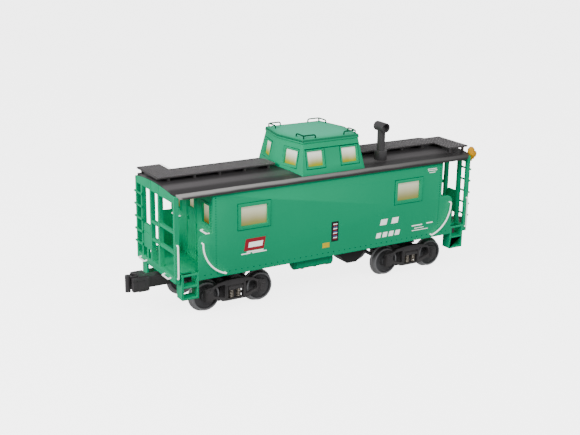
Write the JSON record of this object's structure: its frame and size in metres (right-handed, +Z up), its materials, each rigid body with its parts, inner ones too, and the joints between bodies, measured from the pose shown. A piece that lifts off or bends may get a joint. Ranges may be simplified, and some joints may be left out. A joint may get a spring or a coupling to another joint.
{
  "type": "O gauge model cabin caboose",
  "caption": "Lit model railway cabin caboose with a pointed cupola, open end platforms with ladders and rails, and swivelling trucks carrying knuckle couplers.",
  "frame": {"origin": "midway along and across the car, at the lowest point of the wheel flanges", "axes": "+X along the car towards the end with the marker lamp, +Y across it, +Z up"},
  "size_m": [0.2412, 0.0594, 0.0984],
  "materials": {
    "body_green": "satin green enamel",
    "roof_grey": "matt charcoal enamel",
    "black_paint": "satin black enamel",
    "truck_black": "blackened die casting",
    "wheel_metal": "chemically darkened, worn bright on the treads",
    "bright_metal": "bright wire and screws",
    "white_wire": "white enamel on wire",
    "amber_lens": "clear amber plastic",
    "lit_panes": "frosted window insert, lit from inside"
  },
  "bodies": {
    "car_body": {"body_shell": "body_green", "underframe": "black_paint", "roof": "roof_grey", "side_panes": "lit_panes", "end_panes": "lit_panes", "cupola_shell": "body_green", "cupola_panes": "lit_panes", "cupola_roof": "body_green", "cupola_irons": "body_green", "running_board_left": "roof_grey", "running_board_right": "roof_grey", "smoke_pipe": "black_paint", "platform_left": "body_green", "platform_right": "body_green", "end_frame_left": "body_green", "end_frame_right": "body_green", "ladder_left": "body_green", "ladder_right": "body_green", "brake_stand_left": "body_green", "brake_stand_right": "body_green", "steps_left": "body_green", "steps_right": "body_green", "side_irons": "white_wire", "end_irons_left": "white_wire", "end_irons_right": "white_wire", "marker_lamp": "amber_lens", "air_tank": "body_green", "valve_box": "black_paint", "kingpins": "bright_metal"},
    "truck_left": {"truck_frame_left": "truck_black", "truck_springs_left": "bright_metal", "coupler_left": "truck_black"},
    "knuckle_left": {"knuckle_left": "truck_black"},
    "truck_right": {"truck_frame_right": "truck_black", "truck_springs_right": "bright_metal", "coupler_right": "truck_black"},
    "knuckle_right": {"knuckle_right": "truck_black"},
    "wheelset_1": {"wheelset_1": "wheel_metal"},
    "wheelset_2": {"wheelset_2": "wheel_metal"},
    "wheelset_3": {"wheelset_3": "wheel_metal"},
    "wheelset_4": {"wheelset_4": "wheel_metal"}
  },
  "joints": [
    {"name": "truck_left_swivel", "type": "hinge", "parent": "car_body", "child": "truck_left", "pos_m": [-0.0625, 0, 0.0098], "axis": [0, 0, 1], "range_deg": [-18, 18]},
    {"name": "truck_right_swivel", "type": "hinge", "parent": "car_body", "child": "truck_right", "pos_m": [0.0625, 0, 0.0098], "axis": [0, 0, 1], "range_deg": [-18, 18]},
    {"name": "wheelset_1_roll", "type": "hinge", "parent": "truck_left", "child": "wheelset_1", "pos_m": [-0.0797, 0, 0.0098], "axis": [0, 1, 0], "continuous": true},
    {"name": "wheelset_2_roll", "type": "hinge", "parent": "truck_left", "child": "wheelset_2", "pos_m": [-0.0453, 0, 0.0098], "axis": [0, 1, 0], "continuous": true},
    {"name": "wheelset_3_roll", "type": "hinge", "parent": "truck_right", "child": "wheelset_3", "pos_m": [0.0453, 0, 0.0098], "axis": [0, 1, 0], "continuous": true},
    {"name": "wheelset_4_roll", "type": "hinge", "parent": "truck_right", "child": "wheelset_4", "pos_m": [0.0797, 0, 0.0098], "axis": [0, 1, 0], "continuous": true},
    {"name": "knuckle_left_swing", "type": "hinge", "parent": "truck_left", "child": "knuckle_left", "pos_m": [-0.114, 0.003, 0.0186], "axis": [0, 0, -1], "range_deg": [0, 40]},
    {"name": "knuckle_right_swing", "type": "hinge", "parent": "truck_right", "child": "knuckle_right", "pos_m": [0.114, -0.003, 0.0186], "axis": [0, 0, -1], "range_deg": [0, 40]}
  ]
}
